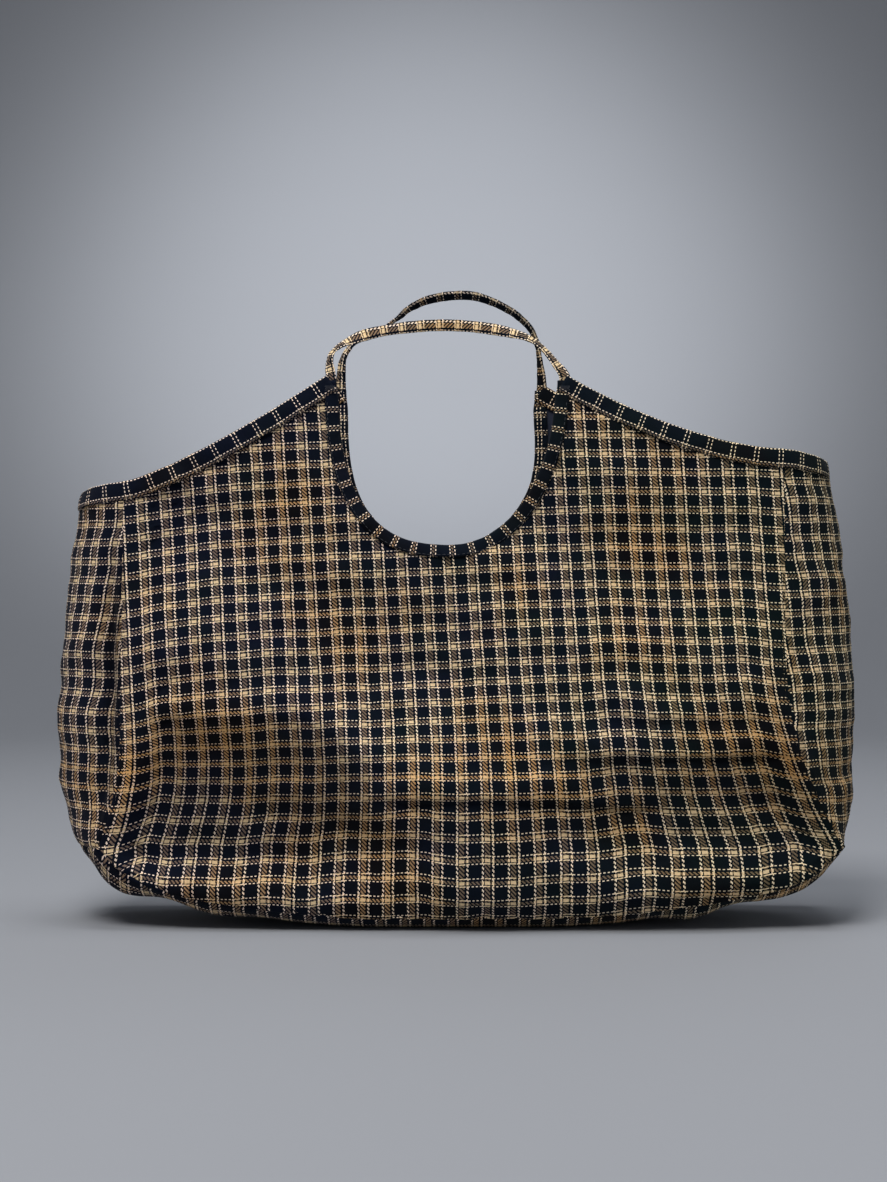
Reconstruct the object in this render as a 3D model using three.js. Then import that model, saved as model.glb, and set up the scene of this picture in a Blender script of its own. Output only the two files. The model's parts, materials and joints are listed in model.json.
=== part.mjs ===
// Plaid cotton tote bag: a scooped neck between two raised shoulders, gusseted sides, a soft
// boxed base, bound edges and a pair of narrow strap handles.
// Millimetres, +Z up. The front face looks along -Y and +X is on its right as seen from there.
// The origin is the middle of the flat underside.
import * as THREE from "three";

const { clamp, lerp, smoothstep } = THREE.MathUtils;

// ---- Driving dimensions ------------------------------------------------------------------

const CLOTH = 1.6; // outer panel, with its seam allowances averaged in
const LINING = 0.8;
const GAP = 0.3; // between pieces that touch
const PLY_GAP = 1; // between the outer cloth and its lining
const FOLD_GAP = 0.8; // between the cloth and the tape folded over it
const SANDWICH = CLOTH + PLY_GAP + LINING; // everything that a binding wraps

const SEAM_X = 197; // half distance between the left and right gusset seams
const CORNER_Z = 50; // where panel, gusset and base meet
const SEAM_DEPTH_LOW = 46; // half depth at the gusset seams, near the base and near the top
const SEAM_DEPTH_HIGH = 33;
const SEAM_HIGH_Z = 270; // from here up the seams are as close as they get
const BELLY = 15; // how far the panels swell beyond their seams
const BELLY_Z = 75;
const BELLY_SPREAD = 60;
const NECK_TUCK = 3; // the neck edge leans in by this much, starting at TUCK_FROM
const TUCK_FROM = 200;
const LEAN_FROM = 255; // the back horns lean from this height up
const LEAN_FULL_X = 110; // by their whole lean as far out as this, and by none at
const LEAN_NONE_X = 190; // this

const WIDEST_X = 246.3; // outer face of the gussets at their widest
const WIDEST_Z = 105;
const TOP_TAPER = 14.5; // loss of half width from WIDEST_Z up over TAPER_SPAN
const TAPER_SPAN = 160;
const BOTTOM_TAPER = 11; // and from WIDEST_Z down to the corners
const GUSSET_ROUND = 4 / 3; // power of the gusset's end curve: 1 is an ellipse

const PEAK_Z = 330; // top of the four horns that carry the straps
const HORN_WIDTH = 7.5;
const HORN_CROWN = 0.87; // share of the panels' crown that is left at the horns
const NECK_X = -6; // middle of the scooped neck
const NECK_HALF_WIDTH = 67;
const NECK_DEPTH = 101;

const BASE_ROLL = 8; // the base curls up this far to meet the panels
const FLAT_WIDTH = 0.6; // share of the base's depth that lies flat
const FLAT_LENGTH = 0.22; // share of its length that lies flat
const SLOW_CLIMB = { share: 0.55, power: 1.7 }; // the base climbs gently past the flat
const SHARP_CLIMB = { share: 0.45, power: 10 }; // and turns up sharply at its ends

const SHOULDER_BINDING = 10; // how far each binding laps onto the cloth
const NECK_BINDING = 6.5;
const TAPE = 0.8;

const STRAP_WIDTH = 7;
const STRAP_THICKNESS = 2.4;
const HINGE_LIFT = 0.9; // lets a strap fold out past level before it meets its horn
const HINGE_Z = PEAK_Z + HINGE_LIFT + STRAP_THICKNESS / 2;

// The two sides differ as a soft bag does: the right shoulder stands higher and its
// bottom corner is pulled further out.
const LEFT = {
  name: "left",
  sign: -1,
  seamTop: 267,
  gussetTop: 262,
  shoulderPower: 1.25,
  neckPower: 2.6,
  flare: 18,
  flareFrom: 115,
  backLean: 3,
};
const RIGHT = {
  name: "right",
  sign: 1,
  seamTop: 287,
  gussetTop: 281,
  shoulderPower: 1.65,
  neckPower: 2.1,
  flare: 34,
  flareFrom: 160,
  backLean: -11,
};
const SIDES = [LEFT, RIGHT];
const sideOf = (x) => (x < 0 ? LEFT : RIGHT);

// Centre lines of the straps between their hinge points.
const FRONT_STRAP = [
  [-76.5, HINGE_Z],
  [-77.5, 342],
  [-74.5, 349],
  [-65, 355],
  [-50, 360],
  [-31.5, 363],
  [-10.5, 364.5],
  [10.5, 363.5],
  [29, 360.5],
  [44, 356],
  [53, 349],
  [60, 340],
  [65, HINGE_Z],
];
const FRONT_STRAP_LEAN = 7; // the crest leans inwards by this much
const BACK_STRAP = [
  [-73.5, HINGE_Z],
  [-72.5, 347],
  [-69, 355],
  [-62.5, 361],
  [-50, 367],
  [-39, 373.5],
  [-29.5, 381],
  [-18, 386],
  [-4, 388.5],
  [9.5, 388.5],
  [22, 385],
  [35, 378.5],
  [45, 370],
  [50, 361],
  [52.5, 349],
  [54, HINGE_Z],
];
const BACK_STRAP_LEAN = 10;

// ---- Shape of the bag --------------------------------------------------------------------

const squareStep = (value, from, to) => clamp((value - from) / (to - from), 0, 1) ** 2;

// Half width at the gusset seam.
const seamX = (side, z) =>
  SEAM_X + side.flare * squareStep(z, side.flareFrom, CORNER_Z);

const seamDepth = (z) =>
  lerp(SEAM_DEPTH_LOW, SEAM_DEPTH_HIGH, smoothstep(z, BELLY_Z, SEAM_HIGH_Z));

const crown = (z) =>
  BELLY * Math.exp(-(((z - BELLY_Z) / BELLY_SPREAD) ** 2)) -
  NECK_TUCK * smoothstep(z, TUCK_FROM, PEAK_Z);

// Half width at the middle of a gusset.
const outerX = (z) =>
  z > WIDEST_Z
    ? WIDEST_X - TOP_TAPER * ((z - WIDEST_Z) / TAPER_SPAN) ** 2
    : WIDEST_X - BOTTOM_TAPER * squareStep(z, WIDEST_Z, CORNER_Z);

// A point of the front panel's outer face. across runs from -1 to 1 between the seams.
function panelPoint(across, z) {
  const side = sideOf(across);
  return new THREE.Vector3(
    across * seamX(side, Math.max(z, CORNER_Z)),
    -(seamDepth(z) + crown(z) * (1 - across * across)),
    z,
  );
}

// A point of a gusset's outer face. round runs from 0 at the front seam to PI at the back.
function gussetPoint(side, round, z) {
  const bulge = outerX(z) - seamX(side, z);
  const reach = Math.max(Math.sin(round), 0) ** GUSSET_ROUND;
  return new THREE.Vector3(
    side.sign * (seamX(side, z) + bulge * reach),
    -seamDepth(z) * Math.cos(round),
    z,
  );
}

// How far the base has climbed at a share of its half length: 0 on the flat, 1 at the ends.
function climb(along) {
  const t = clamp((Math.abs(along) - FLAT_LENGTH) / (1 - FLAT_LENGTH), 0, 1);
  return [SLOW_CLIMB, SHARP_CLIMB].reduce(
    (sum, { share, power }) => sum + share * t ** power,
    0,
  );
}
const baseZ = (along, across) =>
  lerp(BASE_ROLL * squareStep(Math.abs(across), FLAT_WIDTH, 1), CORNER_Z, climb(along));

// Top edge of a panel as a height over x.
function shoulderZ(side, x) {
  const root = hornOuterX(side);
  const t = clamp((x * side.sign - root) / (SEAM_X - root), 0, 1);
  return side.seamTop + (PEAK_Z - side.seamTop) * (1 - t) ** side.shoulderPower;
}
function neckZ(x) {
  const side = x < NECK_X ? LEFT : RIGHT;
  const t = clamp(Math.abs(x - NECK_X) / NECK_HALF_WIDTH, 0, 1);
  return PEAK_Z - NECK_DEPTH * (1 - t ** side.neckPower) ** (1 / side.neckPower);
}
function hornOuterX(side) {
  return Math.abs(NECK_X + side.sign * NECK_HALF_WIDTH) + HORN_WIDTH;
}
const gussetTopZ = (side, round) =>
  lerp(side.gussetTop, side.seamTop, Math.cos(round) ** 2);

// The back panel's horns lean in towards each other near the top.
function leanBack(point) {
  const side = point.x < NECK_X ? LEFT : RIGHT;
  const high = smoothstep(point.z, LEAN_FROM, PEAK_Z);
  const nearHorn = 1 - smoothstep(Math.abs(point.x), LEAN_FULL_X, LEAN_NONE_X);
  point.x += side.backLean * high * nearHorn;
  return point;
}

// ---- Where the grids put their lines -----------------------------------------------------

const NECK_STEPS = 18;
const SHOULDER_STEPS = 8;
const CLOTH_ROWS = 10; // the same on panels and gussets, so that their seam edges match
const GUSSET_STEPS = 8;

const steps = (count, value) =>
  Array.from({ length: count + 1 }, (_, i) => value(i / count));

// x of the panel's columns: crowded where the neck edge is steep.
const shoulderColumns = (side) =>
  steps(SHOULDER_STEPS, (t) => side.sign * lerp(hornOuterX(side), SEAM_X - GAP, t));
const neckColumns = steps(
  NECK_STEPS,
  (t) => NECK_X - NECK_HALF_WIDTH * Math.cos(t * Math.PI),
);
const COLUMNS = [
  ...shoulderColumns(LEFT).reverse(),
  ...neckColumns,
  ...shoulderColumns(RIGHT),
];
function topZ(x) {
  if (Math.abs(x - NECK_X) <= NECK_HALF_WIDTH) return neckZ(x);
  return shoulderZ(sideOf(x), x);
}
const ROUNDS = steps(GUSSET_STEPS, (t) => t * Math.PI);

// ---- Mesh building -----------------------------------------------------------------------

const mirrorY = (p) => new THREE.Vector3(p.x, -p.y, p.z);

// A closed solid between two equal grids of points, the first outside the second.
function slab(outer, inner) {
  const rows = outer.length;
  const cols = outer[0].length;
  const points = [...outer.flat(), ...inner.flat()];
  const back = rows * cols;
  const index = [];
  const quad = (a, b, c, d) => index.push(a, b, c, a, c, d);
  for (let r = 0; r < rows - 1; r++)
    for (let c = 0; c < cols - 1; c++) {
      const a = r * cols + c;
      quad(a, a + 1, a + cols + 1, a + cols);
      quad(back + a, back + a + cols, back + a + cols + 1, back + a + 1);
    }
  for (let c = 0; c < cols - 1; c++) {
    const top = (rows - 1) * cols + c;
    quad(c + 1, c, back + c, back + c + 1);
    quad(top, top + 1, back + top + 1, back + top);
  }
  for (let r = 0; r < rows - 1; r++) {
    const left = r * cols;
    const right = left + cols - 1;
    quad(left, left + cols, back + left + cols, back + left);
    quad(right + cols, right, back + right, back + right + cols);
  }
  return solid(points, index);
}

// Turns the faces outwards where the points were laid out the other way round.
function solid(points, index) {
  let volume = 0;
  for (let i = 0; i < index.length; i += 3) {
    const [a, b, c] = index.slice(i, i + 3).map((k) => points[k]);
    volume += a.dot(new THREE.Vector3().crossVectors(b, c));
  }
  if (volume < 0)
    for (let i = 0; i < index.length; i += 3)
      [index[i + 1], index[i + 2]] = [index[i + 2], index[i + 1]];
  const geometry = new THREE.BufferGeometry().setFromPoints(points);
  geometry.setIndex(index);
  geometry.computeVertexNormals();
  return geometry;
}

// The outward normal of a surface given as point(u, v), checked against a far inside point.
const INSIDE = new THREE.Vector3(0, 0, 150);
const TURN_STEP = 1e-3; // steps for slopes, along across or round, and along z
const Z_STEP = 0.1;
function normalAt(point, u, v, du, dv) {
  const along = point(u + du, v).sub(point(u - du, v));
  const up = point(u, v + dv).sub(point(u, v - dv));
  const normal = along.cross(up).normalize();
  const outwards = point(u, v).sub(INSIDE);
  return normal.dot(outwards) < 0 ? normal.negate() : normal;
}

// Two grids that follow a surface at two depths below it.
function layer(surface, params, near, far, map = (p) => p) {
  const grid = (depth) =>
    params.map((row) =>
      row.map(([u, v]) => {
        const normal = normalAt(surface, u, v, TURN_STEP, Z_STEP);
        return map(surface(u, v).addScaledVector(normal, -depth));
      }),
    );
  return slab(grid(near), grid(far));
}

// Sweeps a closed section, given for each station as a ring of points, and caps the ends.
function sweep(rings) {
  const sides = rings[0].length;
  const points = rings.flat();
  const index = [];
  for (let r = 0; r < rings.length - 1; r++)
    for (let k = 0; k < sides; k++) {
      const a = r * sides + k;
      const b = r * sides + ((k + 1) % sides);
      index.push(a, b, b + sides, a, b + sides, a + sides);
    }
  const cap = THREE.ShapeUtils.triangulateShape(capShape(sides), []);
  const last = (rings.length - 1) * sides;
  for (const [a, b, c] of cap) {
    index.push(c, b, a);
    index.push(last + a, last + b, last + c);
  }
  return solid(points, index);
}

// A folded tape's outline, anticlockwise, with x out of the edge and y out of the cloth.
function channel(lap) {
  const edge = GAP + TAPE;
  const over = FOLD_GAP;
  const under = -SANDWICH - FOLD_GAP;
  return [
    [GAP, over],
    [GAP, under],
    [-lap, under],
    [-lap, under - TAPE],
    [edge, under - TAPE],
    [edge, over + TAPE],
    [-lap, over + TAPE],
    [-lap, over],
  ];
}
const bar = (width, thickness) => [
  [-width / 2, -thickness / 2],
  [width / 2, -thickness / 2],
  [width / 2, thickness / 2],
  [-width / 2, thickness / 2],
];
const capShape = (sides) =>
  (sides === 4 ? bar(1, 1) : channel(SHOULDER_BINDING)).map(
    ([x, y]) => new THREE.Vector2(x, y),
  );

// ---- Cloth pieces ------------------------------------------------------------------------

// The parameters of a panel's grid; lift raises its bottom edge.
function panelGrid(lift) {
  return steps(CLOTH_ROWS, (t) =>
    COLUMNS.map((x) => {
      const across = x / SEAM_X;
      const bottom = baseZ(across, 1) + lift;
      return [across, lerp(bottom, topZ(x), t)];
    }),
  );
}
const UNDER_LINING = 3.2; // the linings stop this far above the outer pieces' lower edges

function panel(front, near, far, lift) {
  const grid = panelGrid(lift);
  const map = front ? (p) => p : (p) => leanBack(mirrorY(p));
  return layer(panelPoint, grid, near, far, map);
}

function gusset(side, near, far, lift) {
  const grid = steps(CLOTH_ROWS, (t) =>
    ROUNDS.map((round) => [
      round,
      lerp(CORNER_Z + lift, gussetTopZ(side, round), t),
    ]),
  );
  return layer((round, z) => gussetPoint(side, round, z), grid, near, far);
}

// A point of the base's outer face, set in from the panels and gussets that it meets.
const BASE_ALONG = [-1, -0.96, -0.9, -0.8, -0.65, -0.45, -FLAT_LENGTH];
const BASE_ACROSS = [-1, -0.8, -FLAT_WIDTH, 0, FLAT_WIDTH, 0.8, 1];
function basePoint(along, across, inset) {
  const side = sideOf(along);
  const round = Math.acos(clamp(-across, -1, 1));
  const end = gussetPoint(side, round, CORNER_Z);
  const edge = panelPoint(along, baseZ(along, 1));
  const endX = Math.abs(end.x) - inset;
  return new THREE.Vector3(
    along * endX,
    across * (Math.abs(edge.y) - inset),
    baseZ(along, across),
  );
}
function base(inset, near, far) {
  const alongs = [...BASE_ALONG, ...BASE_ALONG.map((a) => -a).reverse()];
  const grid = BASE_ACROSS.map((across) => alongs.map((along) => [along, across]));
  const surface = (along, across) => basePoint(along, across, inset);
  const points = (depth) =>
    grid.map((row) =>
      row.map(([along, across]) => {
        const normal = baseNormal(surface, along, across);
        return surface(along, across).addScaledVector(normal, -depth);
      }),
    );
  return slab(points(near), points(far));
}
function baseNormal(surface, along, across) {
  const inside = (share) => clamp(share, -1 + TURN_STEP, 1 - TURN_STEP);
  return normalAt(surface, inside(along), inside(across), TURN_STEP, TURN_STEP);
}

// ---- Bindings ----------------------------------------------------------------------------

// Rings of a folded tape along an edge: each stop has a point on the outer face, the
// outward normal there, a rough direction off the cloth and, where the tape is cut square
// to something else, its own tangent.
function bindingRings(stops, lap, fit) {
  return stops.map((stop, i) => {
    const before = stops[Math.max(i - 1, 0)].point;
    const after = stops[Math.min(i + 1, stops.length - 1)].point;
    const tangent = stop.tangent ?? after.clone().sub(before).normalize();
    const off = new THREE.Vector3().crossVectors(tangent, stop.normal).normalize();
    if (off.dot(stop.off) < 0) off.negate();
    const normal = new THREE.Vector3().crossVectors(off, tangent).normalize();
    if (normal.dot(stop.normal) < 0) normal.negate();
    return channel(lap).map(([x, y]) => {
      const p = stop.point.clone().addScaledVector(off, x).addScaledVector(normal, y);
      return fit(p, tangent);
    });
  });
}

const UP = new THREE.Vector3(0, 0, 1);
function panelStop(x, off, front) {
  const across = x / SEAM_X;
  const z = topZ(x);
  const point = panelPoint(across, z);
  const normal = normalAt(panelPoint, across, z, TURN_STEP, Z_STEP);
  if (front) return { point, normal, off };
  return { point: mirrorY(point), normal: mirrorY(normal), off };
}

// Over one shoulder, round the top of the gusset and over the other shoulder.
function shoulderBinding(side) {
  const columns = shoulderColumns(side);
  const limit = hornOuterX(side) + GAP;
  const frontStops = columns.map((x) => panelStop(x, UP, true));
  const backStops = columns.map((x) => panelStop(x, UP, false)).reverse();
  const endStops = ROUNDS.slice(1, -1).map((round) => {
    const z = gussetTopZ(side, round);
    const surface = (u, v) => gussetPoint(side, u, v);
    return {
      point: surface(round, z),
      normal: normalAt(surface, round, z, TURN_STEP, Z_STEP),
      off: UP,
    };
  });
  // The ends are mitred against the neck binding.
  const mitre = (p, tangent) => {
    const short = limit - p.x * side.sign;
    if (short > 0) p.addScaledVector(tangent, (short * side.sign) / tangent.x);
    return p.y > 0 ? leanBack(p) : p;
  };
  return sweep(
    bindingRings([...frontStops, ...endStops, ...backStops], SHOULDER_BINDING, mitre),
  );
}

// Round the scooped neck from horn to horn. Off the cloth is towards a line above the neck.
const NECK_RISE = 40;
function neckBinding(front) {
  const stops = neckColumns.map((x) => {
    const inwards = new THREE.Vector3(NECK_X - x, 0, NECK_RISE);
    return panelStop(x, inwards, front);
  });
  stops[0].tangent = UP.clone().negate();
  stops[stops.length - 1].tangent = UP;
  const fit = (p) => (front ? p : leanBack(p));
  return sweep(bindingRings(stops, NECK_BINDING, fit));
}

// ---- Straps ------------------------------------------------------------------------------

const hornY = -(seamDepth(PEAK_Z) + crown(PEAK_Z) * HORN_CROWN - SANDWICH / 2);
const STRAP_STEPS = 30;
const END_TURNS = [75, 50, 25]; // degrees: the strap ends are round about the hinge line

function strap(points, lean, front) {
  const crest = Math.max(...points.map(([, z]) => z));
  const path = new THREE.CatmullRomCurve3(
    points.map(([x, z]) => {
      const rise = (z - HINGE_Z) / (crest - HINGE_Z);
      const y = hornY + lean * rise;
      return new THREE.Vector3(x, front ? y : -y, z);
    }),
    false,
    "centripetal",
  );
  const across = new THREE.Vector3(0, 1, 0);
  const ring = (centre, wide, thick, width, thickness) =>
    bar(width, thickness).map(([x, y]) =>
      centre.clone().addScaledVector(wide, x).addScaledVector(thick, y),
    );
  const middle = steps(STRAP_STEPS, (t) => {
    const tangent = path.getTangentAt(t);
    const atEnd = t === 0 || t === 1;
    if (atEnd) tangent.set(0, 0, t === 0 ? 1 : -1);
    const wide = new THREE.Vector3().crossVectors(across, tangent).normalize();
    const thick = new THREE.Vector3().crossVectors(tangent, wide).normalize();
    return ring(path.getPointAt(t), wide, thick, STRAP_WIDTH, STRAP_THICKNESS);
  });
  const end = (t, turn) => {
    const angle = THREE.MathUtils.degToRad(turn);
    const sense = t === 0 ? 1 : -1;
    const centre = path.getPointAt(t);
    centre.z -= (STRAP_THICKNESS / 2) * Math.sin(angle);
    const wide = new THREE.Vector3(sense, 0, 0);
    const thick = new THREE.Vector3(0, 1, 0);
    return ring(centre, wide, thick, STRAP_WIDTH, STRAP_THICKNESS * Math.cos(angle));
  };
  const firstEnd = END_TURNS.map((turn) => end(0, turn));
  const lastEnd = [...END_TURNS].reverse().map((turn) => end(1, turn));
  return sweep([...firstEnd, ...middle, ...lastEnd]);
}

// A bar tack: the block of close stitching that holds a strap end to its horn.
const TACK = { width: 5.5, height: 2.4, proud: 0.6, below: 5 };
function tackPlace(side, front) {
  const x = side.sign * (hornOuterX(side) - HORN_WIDTH / 2);
  const z = PEAK_Z - TACK.below;
  const point = panelPoint(x / SEAM_X, z);
  point.y -= FOLD_GAP + TAPE + GAP + TACK.proud / 2;
  return front ? point : leanBack(mirrorY(point));
}

// ---- Materials ---------------------------------------------------------------------------

const material = (color, roughness) =>
  new THREE.MeshStandardMaterial({ color, roughness, metalness: 0 });
const PLAID = material(0x6f6350, 0.9);
const LINED = material(0x1c2230, 0.92);
const EDGING = material(0x2b2a28, 0.88);
const STRAPPING = material(0xb59a6a, 0.88);
const THREAD = material(0x15181f, 0.8);

// ---- Assembly ----------------------------------------------------------------------------

const bag = new THREE.Group();
function add(name, geometry, cloth, place) {
  const mesh = new THREE.Mesh(geometry, cloth);
  mesh.name = name;
  if (place) mesh.position.copy(place);
  bag.add(mesh);
}

const liningNear = CLOTH + PLY_GAP;
for (const front of [true, false]) {
  const face = front ? "front" : "back";
  add(`${face}_panel`, panel(front, 0, CLOTH, 0), PLAID);
  add(`${face}_lining`, panel(front, liningNear, SANDWICH, UNDER_LINING), LINED);
  add(`${face}_neck_binding`, neckBinding(front), EDGING);
  for (const side of SIDES) {
    const block = new THREE.BoxGeometry(TACK.width, TACK.proud, TACK.height);
    add(`${face}_${side.name}_bar_tack`, block, THREAD, tackPlace(side, front));
  }
}
for (const side of SIDES) {
  add(`${side.name}_gusset`, gusset(side, 0, CLOTH, 0), PLAID);
  add(`${side.name}_gusset_lining`, gusset(side, liningNear, SANDWICH, UNDER_LINING), LINED);
  add(`${side.name}_edge_binding`, shoulderBinding(side), EDGING);
}
add("base_panel", base(CLOTH + GAP, 0, CLOTH), PLAID);
add("base_lining", base(SANDWICH + GAP, liningNear, SANDWICH), LINED);
add("front_handle", strap(FRONT_STRAP, FRONT_STRAP_LEAN, true), STRAPPING);
add("back_handle", strap(BACK_STRAP, BACK_STRAP_LEAN, false), STRAPPING);

export default bag;
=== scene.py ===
"""Plaid cotton tote bag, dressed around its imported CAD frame.

Shapes are worked out in millimetres and turned into metres when a mesh is made. The front
of the bag looks along -Y, +X is to its right as seen from the front and +Z is up.
"""

import json
import math

import bpy
import numpy as np
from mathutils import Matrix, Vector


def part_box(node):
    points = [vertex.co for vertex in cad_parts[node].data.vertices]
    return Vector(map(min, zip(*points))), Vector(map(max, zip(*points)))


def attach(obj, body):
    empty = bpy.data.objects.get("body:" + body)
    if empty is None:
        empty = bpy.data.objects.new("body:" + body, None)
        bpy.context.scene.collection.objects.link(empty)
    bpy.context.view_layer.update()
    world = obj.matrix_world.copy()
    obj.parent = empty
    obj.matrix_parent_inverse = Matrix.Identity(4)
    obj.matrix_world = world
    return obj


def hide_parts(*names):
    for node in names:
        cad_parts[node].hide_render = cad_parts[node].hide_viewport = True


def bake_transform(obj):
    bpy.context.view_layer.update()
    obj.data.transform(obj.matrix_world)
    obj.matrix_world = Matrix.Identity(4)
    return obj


MM = 0.001

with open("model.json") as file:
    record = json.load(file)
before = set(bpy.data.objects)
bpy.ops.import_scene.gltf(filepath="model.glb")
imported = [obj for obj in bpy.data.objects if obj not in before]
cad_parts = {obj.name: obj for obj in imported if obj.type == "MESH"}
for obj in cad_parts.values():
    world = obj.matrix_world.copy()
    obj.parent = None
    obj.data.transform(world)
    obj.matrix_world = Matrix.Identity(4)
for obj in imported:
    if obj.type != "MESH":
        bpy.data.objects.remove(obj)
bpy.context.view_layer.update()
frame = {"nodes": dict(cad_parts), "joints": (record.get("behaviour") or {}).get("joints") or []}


def corner_mm(node, high):
    """The lowest or highest corner of a CAD node, in millimetres."""
    return np.array(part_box(node)[1 if high else 0]) / MM


# ---- Driving dimensions, in millimetres ----

PANEL_HIGH = corner_mm("front_panel", True)
PEAK_Z = PANEL_HIGH[2]
SEAM_X = -corner_mm("left_gusset", True)[0]
LEFT_SEAM_SHIFT = 4.5  # the left seam has crept out round the side
WIDEST_X = corner_mm("right_gusset", True)[0]
SEAM_TOP = {-1: corner_mm("left_gusset", True)[2], 1: corner_mm("right_gusset", True)[2]}
GUSSET_SAG = {-1: 5.0, 1: 6.0}
SHOULDER_POWER = {-1: 1.25, 1: 1.65}
NECK_POWER = {-1: 2.6, 1: 2.1}
FLARE = {-1: 18.0, 1: 34.0}
FLARE_FROM = {-1: 115.0, 1: 160.0}
BACK_LEAN = {-1: 3.0, 1: -11.0}
LEAN_FROM = 255.0  # the back panel's horns lean above this height
LEAN_NEAR = (110, 190)  # and the lean fades out between these distances from the middle
HINGE_Z = frame["joints"][0]["pos_m"][2] / MM
HINGE_Y = abs(frame["joints"][0]["pos_m"][1]) / MM

CORNER_Z = 50.0
SEAM_DEPTH_LOW = 46.0
SEAM_DEPTH_HIGH = 33.0
SEAM_HIGH_Z = 270.0
BELLY = 15.0
BELLY_Z = 75.0
BELLY_SPREAD = 60.0
NECK_TUCK = 3.0
TUCK_FROM = 200.0
WIDEST_Z = 105.0
TOP_TAPER = 14.5
TAPER_SPAN = 160.0
BOTTOM_TAPER = 11.0
GUSSET_ROUND = 4 / 3
HORN_WIDTH = 7.5
NECK_X = -6.0
NECK_HALF_WIDTH = 67.0
NECK_DEPTH = 101.0
BASE_ROLL = 8.0
FLAT_WIDTH = 0.6  # shares of the base that lie flat
FLAT_LENGTH = 0.22
SLOW_CLIMB = (0.55, 1.7)  # share and power of the base's rise towards its two ends
SHARP_CLIMB = (0.45, 10)
GUSSET_RADIUS = 46.0  # turns an angle round a gusset into a length
BASE_HALF = (236.0, 48.0)
INSIDE = np.array([0.0, 0.0, 150.0])  # a point in the middle of the bag

CLOTH = 0.8  # thickness of the outer cloth
LINING = 0.45
LINING_DEPTH = 1.5  # the lining's outer face lies this far under the outer cloth's face
SHOULDER_LAP = 10.0
NECK_LAP = 6.5
TAPE = 0.65
TAPE_FOLD = 3.2  # from the outer leg of a folded tape to the inner one
STRAP_WIDTH = 7.0
STRAP_THICKNESS = 1.7

YARN = 0.57  # from one yarn of the weave to the next
WARP_ENDS = 25  # yarns in one check across the cloth
WEFT_PICKS = 20  # and up it

# what each sheet was cut to, seam allowances and turn-ins included
PANEL_CUT = (2 * SEAM_X + 40, PEAK_Z + 20)
GUSSET_CUT = {side: (0.66 * SEAM_X, SEAM_TOP[side] - CORNER_Z + 5) for side in (-1, 1)}
BASE_LINING_CUT = (472, 106)

FACE = {True: "front", False: "back"}
SIDE = {-1: "left", 1: "right"}


# ---- Small maths ----


def link(name, data):
    made = bpy.data.objects.new(name, data)
    bpy.context.scene.collection.objects.link(made)
    return made


def clamp01(value):
    return np.clip(value, 0.0, 1.0)


def smoothstep(value, low, high):
    t = clamp01((np.asarray(value, float) - low) / (high - low))
    return t * t * (3 - 2 * t)


def mix(a, b, t):
    return a + (b - a) * t


def bump(value, centre, width):
    return np.exp(-(((value - centre) / width) ** 2))


def unit(vectors):
    return vectors / np.maximum(np.linalg.norm(vectors, axis=-1, keepdims=True), 1e-9)


def tangents(path):
    return unit(np.gradient(path, axis=0))


def flow_lengths(points, axis=0):
    """Distance along a line or along the grid lines of an array of points."""
    pieces = np.linalg.norm(np.diff(points, axis=axis), axis=-1)
    lead = np.zeros_like(np.take(pieces, [0], axis=axis))
    return np.concatenate([lead, np.cumsum(pieces, axis=axis)], axis=axis)


def sided(values, x):
    """Picks the left or right value of a dimension for each x."""
    return np.where(np.asarray(x) < 0, values[-1], values[1])


def ripple(seed, x, z, wavelength, stretch=1.0, waves=9):
    """Smooth noise of about unit size; stretch above 1 draws it out along x."""
    random = np.random.default_rng(seed)
    total = 0.0
    for _ in range(waves):
        angle = random.uniform(0, 2 * math.pi)
        number = 2 * math.pi / (wavelength * random.uniform(0.7, 1.5))
        phase = random.uniform(0, 2 * math.pi)
        along = math.cos(angle) / stretch
        total = total + np.cos(number * (x * along + z * math.sin(angle)) + phase)
    return total / math.sqrt(waves / 2)


# ---- The bag's surface before it is creased ----


def seam_x(x_side, z):
    flare_from = sided(FLARE_FROM, x_side)
    low = clamp01((z - flare_from) / (CORNER_Z - flare_from)) ** 2
    crept = LEFT_SEAM_SHIFT * smoothstep(-np.asarray(x_side, float), 0, 1)
    return SEAM_X + sided(FLARE, x_side) * low + crept * (1 - low)


def seam_depth(z):
    return mix(SEAM_DEPTH_LOW, SEAM_DEPTH_HIGH, smoothstep(z, BELLY_Z, SEAM_HIGH_Z))


def crown(z):
    tuck = NECK_TUCK * smoothstep(z, TUCK_FROM, PEAK_Z)
    return BELLY * bump(z, BELLY_Z, BELLY_SPREAD) - tuck


def outer_x(z):
    above = TOP_TAPER * ((z - WIDEST_Z) / TAPER_SPAN) ** 2
    below = BOTTOM_TAPER * clamp01((z - WIDEST_Z) / (CORNER_Z - WIDEST_Z)) ** 2
    return WIDEST_X - np.where(z > WIDEST_Z, above, below)


def smooth_panel(across, z):
    x = across * seam_x(across, np.maximum(z, CORNER_Z))
    y = -(seam_depth(z) + crown(z) * (1 - across**2))
    return np.stack([x, y, z + 0 * x], -1)


def smooth_gusset(side, turn, z):
    bulge = outer_x(z) - seam_x(side, z)
    reach = np.maximum(np.sin(turn), 0) ** GUSSET_ROUND
    x = side * (seam_x(side, z) + bulge * reach)
    y = -seam_depth(z) * np.cos(turn)
    return np.stack([x, y, z + 0 * x], -1)


def climb(along):
    t = clamp01((np.abs(along) - FLAT_LENGTH) / (1 - FLAT_LENGTH))
    return sum(share * t**power for share, power in (SLOW_CLIMB, SHARP_CLIMB))


def base_z(along, across):
    roll = BASE_ROLL * clamp01((np.abs(across) - FLAT_WIDTH) / (1 - FLAT_WIDTH)) ** 2
    return mix(roll, CORNER_Z, climb(along))


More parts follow.
